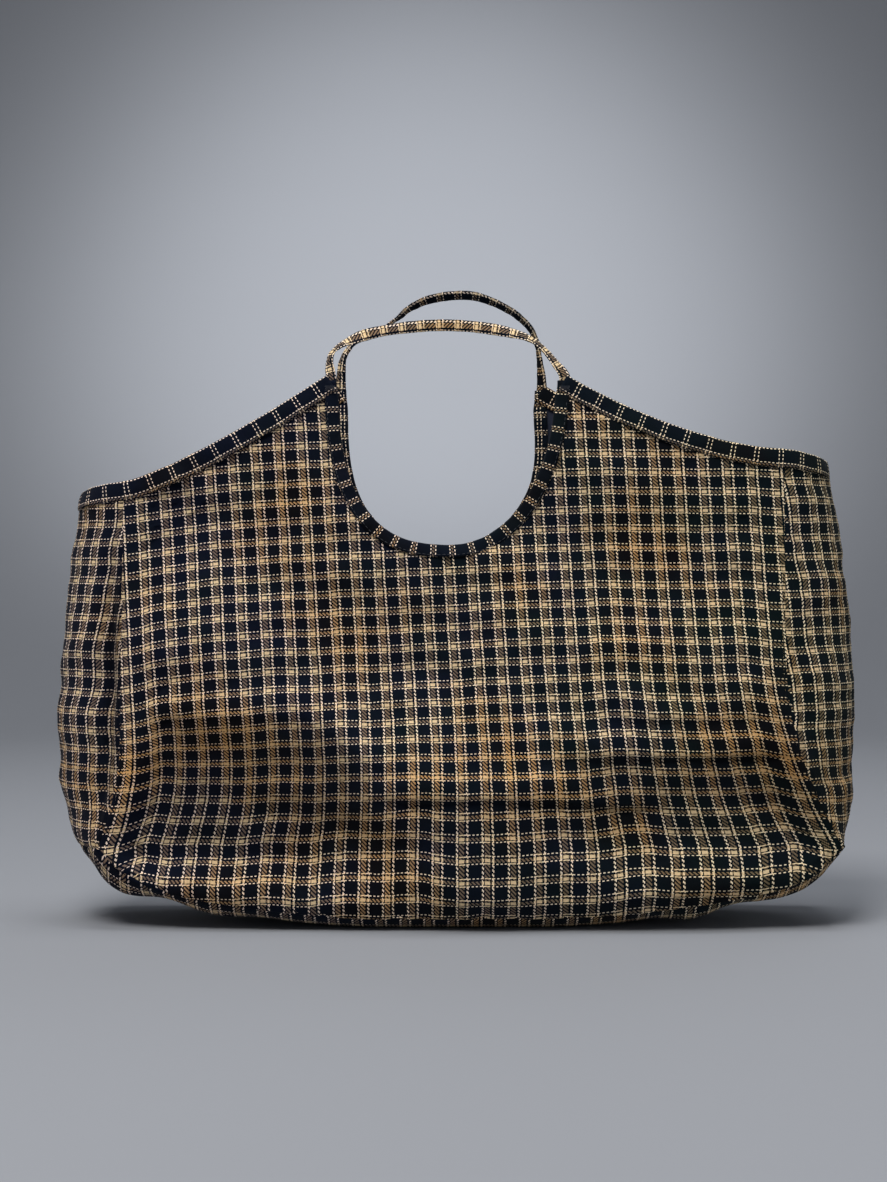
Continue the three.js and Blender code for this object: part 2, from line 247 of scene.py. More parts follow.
def smooth_base(along, across):
    side = np.where(along < 0, -1.0, 1.0)
    turn = np.arccos(np.clip(-across, -1, 1))
    end = np.abs(smooth_gusset(side, turn, CORNER_Z + 0 * across)[..., 0])
    edge = -smooth_panel(along, base_z(along, 1 + 0 * along))[..., 1]
    return np.stack([along * end, across * edge, base_z(along, across)], -1)


def horn_outer(side):
    return abs(NECK_X + side * NECK_HALF_WIDTH) + HORN_WIDTH


def top_z(x):
    """Height of a panel's top edge: shoulder, horn, scooped neck, horn, shoulder."""
    x = np.asarray(x, float)
    from_neck = np.abs(x - NECK_X) / NECK_HALF_WIDTH
    neck_power = np.where(x < NECK_X, NECK_POWER[-1], NECK_POWER[1])
    neck = PEAK_Z - NECK_DEPTH * (1 - clamp01(from_neck) ** neck_power) ** (1 / neck_power)
    root = np.where(x < 0, horn_outer(-1), horn_outer(1))
    t = clamp01((np.abs(x) - root) / (SEAM_X - root))
    end = sided(SEAM_TOP, x)
    shoulder = end + (PEAK_Z - end) * (1 - t) ** sided(SHOULDER_POWER, x)
    return np.where(from_neck <= 1, neck, shoulder)


def gusset_top(side, turn):
    return SEAM_TOP[side] - GUSSET_SAG[side] * np.sin(turn) ** 2


# ---- How the cloth has settled ----


def shelf_line(x):
    """Height of the long break across the lower front, where the belly tucks under."""
    left = mix(104.0, 127.0, smoothstep(x, -196, -170)) - 30 * smoothstep(x, -95, -40)
    right = mix(94.0, 104.5, smoothstep(x, 10, 70))
    return mix(left, right, smoothstep(x, -45, 20))


def ledge(below, recovery):
    """Profile of a crease that steps in sharply, then eases out again."""
    return smoothstep(below, -1.2, 2.2) * np.exp(-np.maximum(below, 0) / recovery)


def crease(z, line, lip, reach, step, recovery):
    """A level fold: a lip stands out just above the line and the cloth steps in below."""
    return lip * bump(z, line + reach, reach) - step * ledge(line - z, recovery)


RIGHT_CREASE_Z = 127


def right_window(x):
    return smoothstep(x, 88, 112)


def middle_crease_z(x):
    return 79 - 0.04 * x


def middle_window(x):
    return smoothstep(x, -62, -20) * smoothstep(x, 128, 90)


def main_folds(x, z):
    leftward = smoothstep(-x, -5, 60)
    rightward = smoothstep(x, 15, 110)
    below = shelf_line(x) - z
    lip = bump(below, -8, 9)
    # on the left the belly falls away under one broad break
    folds = leftward * (1.2 * lip - 15 * smoothstep(below, -8, 58) * smoothstep(z, 16, 44))
    folds -= leftward * 1.6 * ledge(below, 14)
    # on the right it steps back along two crisp creases
    folds += rightward * (1.0 * lip - 3.6 * ledge(below, 20))
    folds -= rightward * 8.5 * smoothstep(below, -6, 34) * smoothstep(z, 22, 58)
    line = RIGHT_CREASE_Z + 1.2 * np.sin(x / 26.0)
    folds += right_window(x) * crease(z, line, 0.8, 6, 2.3, 13)
    # a softer one runs under the middle
    line = middle_crease_z(x) + 1.5 * np.sin(x / 19.0)
    folds += middle_window(x) * crease(z, line, 1.0, 8, 3.2, 15)
    folds += 5.0 * smoothstep(z, 60, 20) * smoothstep(np.abs(x), 195, 120)
    # a short slanting crease springs from the left seam
    line = 128 + (x + 199) * 0.72
    window = smoothstep(x, -199, -192) * smoothstep(x, -160, -172)
    return folds - 2.4 * window * ledge(line - z, 8)


def small_folds(x, z, seed):
    """Long shallow hollows, finer rumples, the slubs of the cloth, and three press
    marks from folding."""
    quiet = smoothstep(z, 330, 235) * 0.6 + 0.4
    folds = 1.5 * quiet * ripple(seed, x, z, 95, 1.8)
    folds += 0.55 * quiet * ripple(seed + 1, x, z, 31, 1.9)
    folds += 0.13 * ripple(seed + 2, x, z, 9, 1.3)
    folds -= 0.5 * bump(x, -154 + 2 * np.sin(z / 21), 1.6) * bump(z, 185, 45)
    folds -= 0.35 * bump(z, 246 + x / 90, 1.5) * smoothstep(x, 70, 100)
    return folds - 0.35 * bump(z, 176 + x / 30, 1.6) * smoothstep(x, -60, -90)


def panel_folds(across, z, seed, lift):
    """How far a panel's face stands out from the smooth surface."""
    x = across * SEAM_X
    folds = main_folds(x, z) + small_folds(x, z, seed)
    # nothing moves at the seams, where small puckers gather instead
    from_seam = SEAM_X * (1 - np.abs(across))
    from_base = z - base_z(across, 1 + 0 * across)
    held = smoothstep(from_seam, 0, 24) * smoothstep(from_base, -1, 13)
    pucker = 0.12 * ripple(seed + 3, x * 0.1, z, 14) * np.exp(-from_seam / 10)
    pucker += 0.4 * ripple(seed + 4, z * 0.1, x, 11) * np.exp(-from_base / 8)
    # the seams draw the cloth in
    pinch = 0.5 * np.exp(-from_seam / 3) + 0.8 * np.exp(-from_base / 3)
    return lift * folds * held + pucker - pinch


def panel_painted_shade(across, z):
    """Painted shade on a panel, from 0 to 1: how much its colour is darkened where it lies in a
    hollow of the folds.
    """
    x = across * SEAM_X
    below = shelf_line(x) - z
    belly = smoothstep(below, -3, 6) * smoothstep(z, 14, 72)
    left = smoothstep(-x, 30, 75) * smoothstep(-x, 196, 160)
    shade = belly * (0.95 * left + 0.55 * smoothstep(x, 30, 120))
    shade += 0.7 * smoothstep(x, 125, 185) * bump(z, 94, 30)
    shade += 0.6 * middle_window(x) * ledge(middle_crease_z(x) - z, 14)
    shade += 0.35 * right_window(x) * ledge(RIGHT_CREASE_Z - z, 10)
    shade += 0.6 * smoothstep(x, 60, 90) * ledge(below, 8)
    return np.clip(shade, 0, 1)


def from_gusset_seam(turn):
    return GUSSET_RADIUS * np.minimum(turn, math.pi - turn)


def gusset_painted_shade(side, turn, z):
    # painted shade, from 0 to 1: how much a gusset's colour is darkened in its hollows, near the
    # seam on the left and low down on the right
    from_seam = from_gusset_seam(turn)
    if side < 0:
        return bump(from_seam, 9, 15) * np.clip(1.4 * bump(z, 145, 75), 0, 1)
    return 0.75 * bump(z, 92, 26) * smoothstep(from_seam, 60, 15)


def gusset_folds(side, turn, z, seed):
    from_seam = from_gusset_seam(turn)
    from_top = gusset_top(side, turn) - z
    around = GUSSET_RADIUS * (turn - math.pi / 2)
    valley = bump(from_seam, 12, 8) * bump(z, 150, 62)
    depth = 8.0 if side < 0 else 2.2
    folds = -depth * valley
    folds += 0.7 * ripple(seed, around, z, 42, 2.4) * smoothstep(from_top, 0, 40)
    folds += 0.22 * ripple(seed + 1, around, z, 17, 2.0)
    folds += 0.10 * ripple(seed + 5, around, z, 9, 1.3)
    folds -= 1.0 * bump(z, 98 + around * 0.12, 7) * smoothstep(from_seam, 8, 30)
    held = smoothstep(from_seam, 0, 16) * smoothstep(z, CORNER_Z, CORNER_Z + 18)
    pucker = 0.12 * ripple(seed + 2, around * 0.1, z, 13) * np.exp(-from_seam / 8)
    tucked = 1.6 * smoothstep(from_seam, 7, 0)
    return folds * held + pucker - tucked - 0.8 * np.exp(-(z - CORNER_Z) / 3)


def base_folds(along, across, seed):
    point = smooth_base(along, across)
    x, y = point[..., 0], point[..., 1]
    length, width = BASE_HALF
    edge = np.minimum(width * (1 - np.abs(across)), length * (1 - np.abs(along)))
    raised = smoothstep(np.abs(x), 75, 150)
    folds = 1.6 * ripple(seed, x, y, 46) * raised
    held = smoothstep(edge, 0, 20)
    pucker = 0.35 * ripple(seed + 1, y * 0.1, x, 11) * np.exp(-edge / 8)
    bulge = 1.6 * smoothstep(np.abs(x), 110, 200) * smoothstep(edge, 0, 14)
    return (folds + bulge) * held + pucker * raised - 1.1 * np.exp(-edge / 2.4)


def lean_back(points):
    """The back panel's horns lean in towards each other near the top."""
    x, z = points[..., 0], points[..., 2]
    lean = np.where(x < NECK_X, BACK_LEAN[-1], BACK_LEAN[1])
    near = 1 - smoothstep(np.abs(x), *LEAN_NEAR)
    moved = points.copy()
    moved[..., 0] = x + lean * smoothstep(z, LEAN_FROM, PEAK_Z) * near
    return moved


def normals_of(surface, u, v, du, dv):
    """Outward unit normals of surface(u, v)."""
    along = surface(u + du, v) - surface(u - du, v)
    up = surface(u, v + dv) - surface(u, v - dv)
    normal = unit(np.cross(along, up))
    flip = (normal * (surface(u, v) - INSIDE)).sum(-1, keepdims=True) < 0
    return np.where(flip, -normal, normal)


def grids(u, v):
    return np.broadcast_arrays(np.asarray(u, float), np.asarray(v, float))


def panel_surface(front, depth=0.0):
    """surface(across, z) of the settled panel, depth under its outer face."""
    seed = 11 if front else 71

    def surface(across, z):
        across, z = grids(across, z)
        smooth = smooth_panel(across, z)
        normal = normals_of(smooth_panel, across, z, 1e-4, 0.05)
        out = panel_folds(across, z, seed, 1.0 if front else 0.75) - depth
        points = smooth + normal * out[..., None]
        if front:
            return points
        return lean_back(points * np.array([1.0, -1.0, 1.0]))

    return surface


def gusset_surface(side, depth=0.0):
    seed = 131 if side < 0 else 171

    def surface(turn, z):
        turn, z = grids(turn, z)
        smooth = smooth_gusset(side, turn, z)
        inner_turn = np.clip(turn, 0.02, math.pi - 0.02)
        bare = lambda t, h: smooth_gusset(side, t, h)
        normal = normals_of(bare, inner_turn, z, 1e-3, 0.05)
        out = gusset_folds(side, turn, z, seed) - depth
        return smooth + normal * out[..., None]

    return surface


def base_surface(depth=0.0):
    def surface(along, across):
        along, across = grids(along, across)
        smooth = smooth_base(along, across)
        step = 1e-3
        inner_along = np.clip(along, -1 + step, 1 - step)
        inner_across = np.clip(across, -1 + step, 1 - step)
        normal = normals_of(smooth_base, inner_along, inner_across, step, step)
        out = base_folds(along, across, 211) - depth
        points = smooth + normal * out[..., None]
        points[..., 2] = np.maximum(points[..., 2], depth + 0.02)
        return points

    return surface


# ---- Mesh making ----


def grid_faces(rows, cols, offset=0):
    first = offset + np.arange(rows - 1)[:, None] * cols + np.arange(cols - 1)[None, :]
    return np.stack([first, first + 1, first + cols + 1, first + cols], -1).reshape(-1, 4)


def new_mesh(name, points, faces, corner_uv):
    """A smooth-shaded mesh object from points in millimetres and one UV per face corner."""
    mesh = bpy.data.meshes.new(name)
    mesh.from_pydata((points * MM).tolist(), [], faces.tolist())
    layer = mesh.uv_layers.new(name="weave")
    layer.data.foreach_set("uv", (corner_uv * MM).astype(np.float32).ravel())
    mesh.polygons.foreach_set("use_smooth", [True] * len(mesh.polygons))
    mesh.update()
    mesh.validate()
    return link(name, mesh)


def face_outwards(points, faces):
    """Turns all faces round if the closed mesh they make is inside out."""
    a, b, c, d = (points[faces[:, k]] for k in range(4))
    volume = (a * np.cross(b, c)).sum() + (a * np.cross(c, d)).sum()
    return faces[:, ::-1] if volume < 0 else faces


def cloth_from_grid(name, outer, inner, uv, painted_shade=None):
    """A closed sheet between two grids of points, with the weave's UV on both faces."""
    rows, cols = outer.shape[:2]
    count = rows * cols
    points = np.concatenate([outer.reshape(-1, 3), inner.reshape(-1, 3)])
    row, col = np.arange(rows - 1), np.arange(cols - 1)
    ends = [col, row * cols + cols - 1, count - 1 - col, (rows - 1 - row) * cols]
    ring = np.concatenate(ends)
    after = np.roll(ring, -1)
    rim = np.stack([after, ring, ring + count, after + count], -1)
    front, back = grid_faces(rows, cols), grid_faces(rows, cols, count)[:, ::-1]
    faces = face_outwards(points, np.concatenate([front, back, rim]))
    vertex_uv = np.tile(uv.reshape(-1, 2), (2, 1))
    piece = new_mesh(name, points, faces, vertex_uv[faces].reshape(-1, 2))
    # painted shade for the hollows of the folds, kept as a point attribute on both faces
    if painted_shade is not None:
        layer = piece.data.attributes.new("painted_shade", "FLOAT", "POINT")
        layer.data.foreach_set("value", np.tile(painted_shade.ravel(), 2).astype(np.float32))
    return piece


# ---- Cloth pieces ----

NECK_COLUMNS = 76
SHOULDER_COLUMNS = 54
PANEL_ROWS = 150
GUSSET_COLUMNS = 66
BASE_COLUMNS = 210
BASE_ROWS = 54


def panel_columns():
    left = -np.linspace(SEAM_X, horn_outer(-1), SHOULDER_COLUMNS)
    right = np.linspace(horn_outer(1), SEAM_X, SHOULDER_COLUMNS)
    neck = NECK_X - NECK_HALF_WIDTH * np.cos(np.linspace(0, math.pi, NECK_COLUMNS))
    return np.concatenate([left, neck, right])


def panel_grid(top_inset=0.0, bottom_inset=0.0):
    x = panel_columns()
    across = x / SEAM_X
    bottom = base_z(across, np.ones_like(across)) + bottom_inset
    z = mix(bottom, top_z(x) - top_inset, np.linspace(0, 1, PANEL_ROWS)[:, None])
    return np.broadcast_to(across, z.shape), z


TURN_STEPS = [(0.55, 0.12), (0.9, 0.5), (1.0, 0.9), (0.7, 1.3)]  # outwards, sunk


def turned_in(points, normal):
    """Adds a rounded turn-in at the bottom and at both sides of a grid of points."""

    def rolled(edge, inner, face):
        away = unit(edge - inner)
        away = unit(away - face * (away * face).sum(-1, keepdims=True))
        return [edge + away * out - face * sunk for out, sunk in TURN_STEPS]

    rows = rolled(points[0], points[1], normal[0])
    points = np.concatenate([np.stack(rows[::-1]), points], 0)
    normal = np.concatenate([np.repeat(normal[:1], len(rows), 0), normal], 0)
    left = rolled(points[:, 0], points[:, 1], normal[:, 0])
    right = rolled(points[:, -1], points[:, -2], normal[:, -1])
    return np.concatenate([np.stack(left[::-1], 1), points, np.stack(right, 1)], 1)


def widened(uv):
    """The weave's UV for the rows and columns that turned_in adds."""
    ends = np.array([math.hypot(out, sunk) for out, sunk in TURN_STEPS])
    uv = np.concatenate([uv[:1] - ends[::-1, None, None] * [0, 1], uv], 0)
    left = uv[:, :1] - ends[::-1][None, :, None] * [1, 0]
    right = uv[:, -1:] + ends[None, :, None] * [1, 0]
    return np.concatenate([left, uv, right], 1)


def make_plaid(name, node, points, normal, uv, painted_shade, flat):
    """A piece of the outer cloth whose seam edges turn in."""
    extra = len(TURN_STEPS)
    painted_shade = np.pad(painted_shade, ((extra, 0), (extra, extra)), "edge")
    outside = turned_in(points, normal)
    inside = turned_in(points - normal * CLOTH, normal)
    piece = cloth_from_grid(name, outside, inside, widened(uv), painted_shade)
    finish_piece(piece, "bag", "plaid_cotton", node)


def make_lining(name, surface_at, u, v, uv, flat):
    """A thin sheet close under the outer cloth; surface_at(depth) gives its faces."""
    near = surface_at(LINING_DEPTH)(u, v)
    far = surface_at(LINING_DEPTH + LINING)(u, v)
    piece = cloth_from_grid(f"{name}_cloth", near, far, near[..., :2] if uv is None else uv)
    finish_piece(piece, "bag", "lining_cotton", name)


def ramp_run(x, start, end):
    """Smooth hinge: 0 before start, then a line whose slope grows to 1 at end."""
    span = end - start
    t = clamp01((x - start) / span)
    return span * t * t / 2 + np.maximum(0, x - end)


def weave_across(across, z):
    """The weave's place across a panel: the lengthwise stripes fan out towards the
    bottom, mostly near the sides, and hang a few degrees off upright."""
    spread = seam_x(across, np.maximum(z, CORNER_Z)) / SEAM_X
    target = across * spread
    place = across
    for _ in range(4):
        share = 0.45 + 0.55 * np.abs(place) ** 1.5
        place = target / (1 + (spread - 1) * share)
    x = place * SEAM_X
    lean = 0.066 * (PEAK_Z - 70 - ramp_run(z, 70, 130) + 30)
    return x - lean - 0.000095 * x * x - 0.0165 * np.maximum(0, 90 - x)


def grain_drop(x, z):
    """The left half of the cloth hangs off grain, so its level stripes slope down."""
    drop = 0.047 * ramp_run(-x, -90, -10) + 0.10 * ramp_run(-x, 105, 165)
    drop += 0.05 * ramp_run(x, 165, 185)
    return drop * mix(0.35, 1.0, smoothstep(z, 80, 135))


def weave_up(points, z):
    """The weave's place up a panel: picks lie a little further apart near the bottom."""
    step = np.linalg.norm(np.diff(points, axis=0), axis=-1)
    apart = mix(1.15, 1.0, smoothstep((z[1:] + z[:-1]) / 2, 35, 150))
    run = np.cumsum((step / apart)[::-1], axis=0)[::-1]
    return z[-1:] - 3.3 - np.concatenate([run, 0 * run[:1]])


def make_panel(front):
    across, z = panel_grid()
    outer = panel_surface(front)
    points = outer(across, z)
    normal = normals_of(outer, across, z, 1e-3, 0.4)
    u = weave_across(across, z)
    v = weave_up(points, z) + grain_drop(across * SEAM_X, z)
    uv = np.stack([u if front else -u + 4.0, v], -1)
    # painted shade in the hollows of the folds, weaker on the back panel
    painted_shade = panel_painted_shade(across, z) * (1.0 if front else 0.6)
    name, node = f"{FACE[front]}_cloth", f"{FACE[front]}_panel"
    make_plaid(name, node, points, normal, uv, painted_shade, PANEL_CUT)


def make_panel_lining(front):
    across, z = panel_grid(top_inset=0.8, bottom_inset=2.0)
    surface_at = lambda depth: panel_surface(front, depth)
    uv = np.stack([across * SEAM_X, z], -1)
    make_lining(f"{FACE[front]}_lining", surface_at, across * 0.995, z, uv, PANEL_CUT)


def gusset_grid(side, bottom_inset=0.0, top_inset=0.0):
    turn = np.linspace(0, math.pi, GUSSET_COLUMNS)[None, :]
    t = np.linspace(0, 1, PANEL_ROWS)[:, None]
    z = mix(CORNER_Z + bottom_inset, gusset_top(side, turn) - top_inset, t)
    return np.broadcast_to(turn, z.shape), z


def make_gusset(side):
    turn, z = gusset_grid(side)
    outer = gusset_surface(side)
    points = outer(turn, z)
    normal = normals_of(outer, np.clip(turn, 0.03, math.pi - 0.03), z, 1e-2, 0.4)
    around = flow_lengths(points, 1)
    around -= around[:, GUSSET_COLUMNS // 2][:, None]
    down = flow_lengths(points[::-1])[::-1]
    uv = np.stack([around * -side + 3.0, z[-1:] - down + (5 if side < 0 else 2)], -1)
    # painted shade in the gusset's hollows
    painted_shade = gusset_painted_shade(side, turn, z)
    node = f"{SIDE[side]}_gusset"
    make_plaid(f"{node}_cloth", node, points, normal, uv, painted_shade, GUSSET_CUT[side])


def make_gusset_lining(side):
    turn, z = gusset_grid(side, 2.0, 0.8)
    surface_at = lambda depth: gusset_surface(side, depth)
    uv = np.stack([turn * 40, z], -1)
    make_lining(f"{SIDE[side]}_gusset_lining", surface_at, turn, z, uv, GUSSET_CUT[side])


def base_grid():
    along = np.linspace(-1, 1, BASE_COLUMNS)[None, :]
    return np.broadcast_arrays(along, np.linspace(-1, 1, BASE_ROWS)[:, None])


def make_base():
    near = base_surface()(*base_grid())
    far = base_surface(CLOTH)(*base_grid())
    run = flow_lengths(near, 1)
    run -= run[:, BASE_COLUMNS // 2][:, None]
    uv = np.stack([run, near[..., 1] + 3], -1)
    piece = cloth_from_grid("base_cloth", near, far, uv)
    finish_piece(piece, "bag", "plaid_cotton", "base_panel")


def make_base_lining():
    along, across = base_grid()
    cut = along * 0.99, across * 0.97
    make_lining("base_lining", base_surface, *cut, None, BASE_LINING_CUT)


# ---- Bindings: tape folded over an edge ----

UP = np.array([0.0, 0.0, 1.0])
NECK_WEAVE = [20 * YARN + 0.1, 3.0]  # where in the weave each tape was cut
EDGE_WEAVE = [0, 14 * YARN + 0.1]


def tape_section(lap):
    """Middle line of a folded tape and the direction out of the fold, with the distance
    along it. x is off the cloth's edge, y out of its outer face."""
    radius = TAPE_FOLD / 2
    out = np.linspace(-lap, 0, 9)
    puff = 0.35 * np.sin(clamp01((out + lap) / lap) * math.pi)
    legs = np.stack([out, puff], -1)
    turn = np.linspace(0, math.pi, 9)[1:-1]
    fold = np.stack([radius * 0.9 * np.sin(turn), -radius + radius * np.cos(turn)], -1)
    back = np.stack([out[::-1], -TAPE_FOLD - puff[::-1]], -1)
    line = np.concatenate([legs, fold, back])
    tangent = tangents(line)
    return line, np.stack([-tangent[:, 1], tangent[:, 0]], -1), flow_lengths(line)


def sweep_tape(name, path, out, off, lap, uv_of, seed, squeeze=None):
    """Sweeps a tape section along a path and closes it into one solid strip. squeeze
    narrows its two ends, where they close round a strap."""
    line, normal, width = tape_section(lap)
    run = flow_lengths(path)
    half = normal * TAPE / 2
    loop = np.concatenate([line + half, (line - half)[::-1]])
    loop_width = np.concatenate([width, width[::-1]])
    wave = 0.09 * ripple(seed, run[:, None], loop_width[None, :] * 0.6, 8)
    wave += 0.14 * ripple(seed + 1, run[:, None], 0.2 * loop_width[None, :], 23)
    x = loop[None, :, 0] + 0.5 * wave
    y = loop[None, :, 1] + wave * np.sign(loop[None, :, 1] + 0.8)
    if squeeze:
        near = smoothstep(np.minimum(run, run[-1] - run), 14, 1)[:, None]
        x = mix(x, -3.2 + (x + 3.2) * squeeze, near)
        y = mix(y, -1.3 + (y + 1.3) * squeeze, near)
    points = path[:, None] + off[:, None] * x[..., None] + out[:, None] * y[..., None]
    return close_sweep(name, points, run, loop_width, uv_of)


def close_sweep(name, points, run, loop_width, uv_of):
    stations, sides = points.shape[:2]
    flat = points.reshape(-1, 3)
    k = np.arange(sides)
    after = (k + 1) % sides
    station = np.arange(stations - 1)[:, None] * sides
    quads = np.stack(
        [station + k, station + after, station + sides + after, station + sides + k], -1
    ).reshape(-1, 4)
    half = sides // 2
    pair = np.arange(half - 1)
    cap = np.stack([pair, pair + 1, sides - 2 - pair, sides - 1 - pair], -1)
    last = (stations - 1) * sides
    faces = np.concatenate([quads, cap[:, ::-1], cap + last])
    faces = face_outwards(flat, faces)
    vertex_uv = np.stack(
        [np.repeat(loop_width[None, :], stations, 0), np.repeat(run[:, None], sides, 1)], -1
    ).reshape(-1, 2)
    return new_mesh(name, flat, faces, uv_of(vertex_uv[faces].reshape(-1, 2)))


def frames_along(path, normal, rough_off):
    """Directions off the edge and out of the cloth, square to the path."""
    tangent = tangents(path)
    off = unit(np.cross(tangent, normal))
    flip = (off * rough_off).sum(1, keepdims=True) < 0
    off = np.where(flip, -off, off)
    out = np.cross(off, tangent)
    flip = (out * normal).sum(1, keepdims=True) < 0
    return off, np.where(flip, -out, out)


def resample(points, spacing):
    """Fractional indices at which a polyline's points come at even steps."""
    run = flow_lengths(points)
    count = max(int(run[-1] / spacing), 2)
    wanted = np.linspace(0, run[-1], count + 1)
    return np.interp(wanted, run, np.arange(len(points)))


def pick(values, index):
    """Values of an array at fractional indices."""
    low = np.clip(np.floor(index).astype(int), 0, len(values) - 2)
    share = index - low
    if values.ndim == 1:
        return mix(values[low], values[low + 1], share)
    return mix(values[low], values[low + 1], share[:, None])


def panel_edge(front, x):
    """Points and normals along a panel's top edge."""
    surface = panel_surface(front)
    across, z = x / SEAM_X, top_z(x)
    return surface(across, z), normals_of(surface, across, z, 2e-3, 0.5)


def make_binding(name, path, normal, rough_off, lift, lap, inset, hem, uv_of, seed, squeeze):
    """A tape folded over the edge that path follows, and its row of stitches, which
    lies inset from the tape's outer edge and stops hem steps short of its ends."""
    off, out = frames_along(path, normal, rough_off)
    path = path + out * lift
    row = path + off * (inset - lap) + out * 0.55
    stitch_row(f"{name}_stitches", row[hem:-hem], out[hem:-hem])
    piece = sweep_tape(f"{name}_tape", path, out, off, lap, uv_of, seed, squeeze)
    finish_piece(piece, "bag", "binding_cotton", f"{name}_binding")


def make_neck_binding(front):
    x = NECK_X - NECK_HALF_WIDTH * np.cos(np.linspace(0, math.pi, 400))
    points, normal = panel_edge(front, x)
    index = resample(points, 1.6)
    path, normal = pick(points, index), pick(normal, index)
    centre = np.array([NECK_X, 0, PEAK_Z + 60]) + path * [0, 1, 0]
    uv_of = lambda uv: uv + NECK_WEAVE
    make_binding(
        f"{FACE[front]}_neck", path, normal, centre - path,
        0.55, NECK_LAP, 1.1, 9, uv_of, 301 + front, 0.74,
    )


def eased(values, reach):
    """Running average along a path that leaves its ends where they are."""
    kernel = np.hanning(2 * reach + 3)[1:-1]
    kernel /= kernel.sum()
    wide = np.pad(values, ((reach, reach), (0, 0)), mode="reflect", reflect_type="odd")
    return np.stack([np.convolve(column, kernel, "valid") for column in wide.T], -1)


def shoulder_edge(front, side, x):
    """A panel's edge along one shoulder, carried on a little past the horn's corner."""
    past = np.maximum(horn_outer(side) - np.abs(x), 0)
    points, normal = panel_edge(front, side * (np.abs(x) + past))
    points[:, 0] -= side * past
    points[:, 2] += 0.6 * past
    return points, normal


def make_edge_binding(side):
    x = side * np.linspace(horn_outer(side) - 3.0, SEAM_X - 0.6, 120)
    front_points, front_normal = shoulder_edge(True, side, x)
    back_points, back_normal = shoulder_edge(False, side, x)
    surface = gusset_surface(side)
    turn = np.linspace(0.12, math.pi - 0.12, 60)
    z = gusset_top(side, turn)
    end_normal = normals_of(surface, turn, z, 1e-2, 0.5)
    points = np.concatenate([front_points, surface(turn, z), back_points[::-1]])
    normal = np.concatenate([front_normal, end_normal, back_normal[::-1]])
    index = resample(points, 1.8)
    path, normal = eased(pick(points, index), 4), eased(pick(normal, index), 6)
    uv_of = lambda uv: uv[:, ::-1] + EDGE_WEAVE
    make_binding(
        f"{SIDE[side]}_edge", path, normal, UP + 0 * path,
        0.5, SHOULDER_LAP, 1.3, 6, uv_of, 321 + side, None,
    )


# ---- Straps ----

FRONT_STRAP = {
    "route": [
        (-76.5, HINGE_Z), (-77.5, 342), (-74.5, 349), (-65, 355), (-50, 360),
        (-31.5, 363), (-10.5, 364.5), (10.5, 363.5), (29, 360.5), (44, 356),
        (53, 349), (60, 340), (65, HINGE_Z),
    ],
    "twist": [  # share of the length and degrees
        (0, 0), (0.07, 5), (0.11, 50), (0.15, 70), (0.19, 58), (0.26, 16),
        (0.55, 4), (0.72, 30), (0.8, 62), (0.88, 45), (1, 0),
    ],
    "lean": 7.0, "width": STRAP_WIDTH, "end_width": 0.86, "weave": [6.2, 2.0],
}
BACK_STRAP = {
    "route": [
        (-73.5, HINGE_Z), (-72.5, 347), (-69, 355), (-62.5, 361), (-50, 367),
        (-39, 373.5), (-29.5, 381), (-18, 386), (-4, 388.5), (9.5, 388.5),
        (22, 385), (35, 378.5), (45, 370), (50, 361), (52.5, 349), (54, HINGE_Z),
    ],
    "twist": [
        (0, 0), (0.08, 20), (0.16, 60), (0.24, 64), (0.3, 80), (0.36, 118),
        (0.45, 142), (0.6, 138), (0.75, 118), (0.85, 112), (0.93, 160), (1, 180),
    ],
    "lean": 10.0, "width": 6.2, "end_width": 1.0, "weave": [8.8, 6.0],
}
STRAP_TAIL = 13.0  # length of each strap end held between the layers of its horn


def smooth_curve(points, per_piece=24):
    """Catmull-Rom curve through a list of points."""
    points = np.array(points, float)
    ends = [2 * points[0] - points[1], *points, 2 * points[-1] - points[-2]]
    t = np.linspace(0, 1, per_piece, endpoint=False)[:, None]
    out = []
    for k in range(len(points) - 1):
        a, b, c, d = (np.array(p) for p in ends[k : k + 4])
        square = (2 * a - 5 * b + 4 * c - d) * t**2
        cube = (3 * b - a - 3 * c + d) * t**3
        out.append(0.5 * (2 * b + (c - a) * t + square + cube))
    return np.concatenate([*out, points[-1:]])


def make_strap(front):
    strap = FRONT_STRAP if front else BACK_STRAP
    outwards = -1 if front else 1
    crest = max(z for _, z in strap["route"])
    points = []
    for x, z in strap["route"]:
        rise = (z - HINGE_Z) / (crest - HINGE_Z)
        points.append((x, (HINGE_Y - strap["lean"] * rise) * outwards, z))
    tail_in = (points[0][0] + 1.0, points[0][1], HINGE_Z - STRAP_TAIL)
    tail_out = (points[-1][0] - 1.5, points[-1][1], HINGE_Z - STRAP_TAIL)
    curve = smooth_curve([tail_in, *points, tail_out])
    path = pick(curve, resample(curve, 1.2))
    tangent = tangents(path)
    t = np.linspace(0, 1, len(path))
    twist = np.interp(t, *zip(*strap["twist"]))
    kernel = np.hanning(15) / np.hanning(15).sum()
    angle = np.radians(np.convolve(np.pad(twist, 7, mode="edge"), kernel, "valid"))[:, None]
    flat_wide = unit(np.cross(tangent, [0.0, -1.0, 0.0]))
    flat_thick = np.cross(flat_wide, tangent)
    wide = flat_wide * np.cos(angle) + flat_thick * np.sin(angle)
    thick = flat_thick * np.cos(angle) - flat_wide * np.sin(angle)
    width = strap["width"] * (1 + 0.05 * ripple(401 + front, 100 * t, 0 * t, 17))
    width *= mix(strap["end_width"], 1.0, smoothstep(np.abs(t - 0.5), 0.5, 0.42))
    points, loop = strap_rings(path, wide, thick, width)
    uv_of = lambda uv: uv + strap["weave"]
    piece = close_sweep(f"{FACE[front]}_strap", points, flow_lengths(path), loop, uv_of)
    finish_strap(piece, f"{FACE[front]}_handle")


